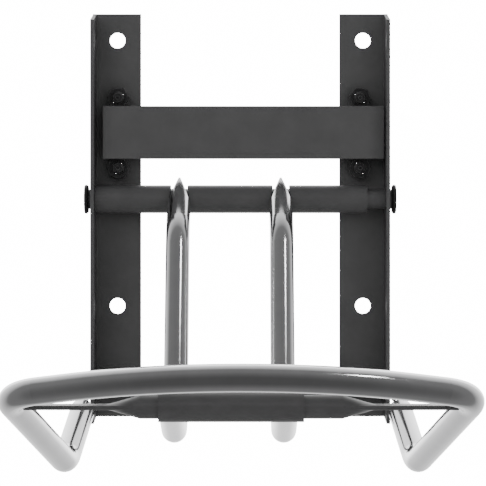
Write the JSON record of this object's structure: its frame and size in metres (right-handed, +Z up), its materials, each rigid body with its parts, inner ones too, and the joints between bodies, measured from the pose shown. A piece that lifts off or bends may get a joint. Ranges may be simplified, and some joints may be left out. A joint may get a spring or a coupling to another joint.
{
  "type": "bicycle wall rack",
  "caption": "Folding wall rack for a bicycle: steel uprights bolt to the wall, a hinged tube brace carries a bent tube hoop that stands out to hold the bicycle.",
  "frame": {"origin": "centre of the four wall screw holes, on the wall face", "axes": "+Z up, the wall is the plane Y = 0, the rack stands out towards -Y, +X to the right seen from the front"},
  "size_m": [0.349, 0.3467, 0.3686],
  "materials": {
    "wall_steel": "satin dark grey powder coat",
    "dark_coat": "semi-gloss dark grey coat",
    "chrome": "bright polished chrome plate",
    "black_fastener": "black oxide, satin",
    "black_cap": "black plastic, semi-matte",
    "nylon": "natural nylon, matte"
  },
  "bodies": {
    "wall_frame": {"cross_bar": "wall_steel", "left_bar_bracket": "wall_steel", "left_bracket_bolts": "black_fastener", "left_bracket_nuts": "black_fastener", "left_upright": "wall_steel", "lower_rod": "dark_coat", "lower_rod_caps": "black_cap", "pivot_shaft": "dark_coat", "pivot_shaft_caps": "black_cap", "right_bar_bracket": "wall_steel", "right_bracket_bolts": "black_fastener", "right_bracket_nuts": "black_fastener", "right_upright": "wall_steel"},
    "brace": {"pivot_tube": "dark_coat", "left_pivot_bush": "nylon", "right_pivot_bush": "nylon", "left_arm": "chrome", "right_arm": "chrome", "hinge_sleeve": "dark_coat"},
    "hoop": {"hoop_tube": "chrome", "hoop_crossbar": "dark_coat"}
  },
  "joints": [
    {"name": "brace_fold", "type": "hinge", "parent": "wall_frame", "child": "brace", "pos_m": [0, -0.022, -0.0219], "axis": [-1, 0, 0], "range_deg": [0, 86]},
    {"name": "hoop_fold", "type": "hinge", "parent": "brace", "child": "hoop", "pos_m": [0, -0.268, -0.1761], "axis": [-1, 0, 0], "range_deg": [-40, 0]}
  ]
}
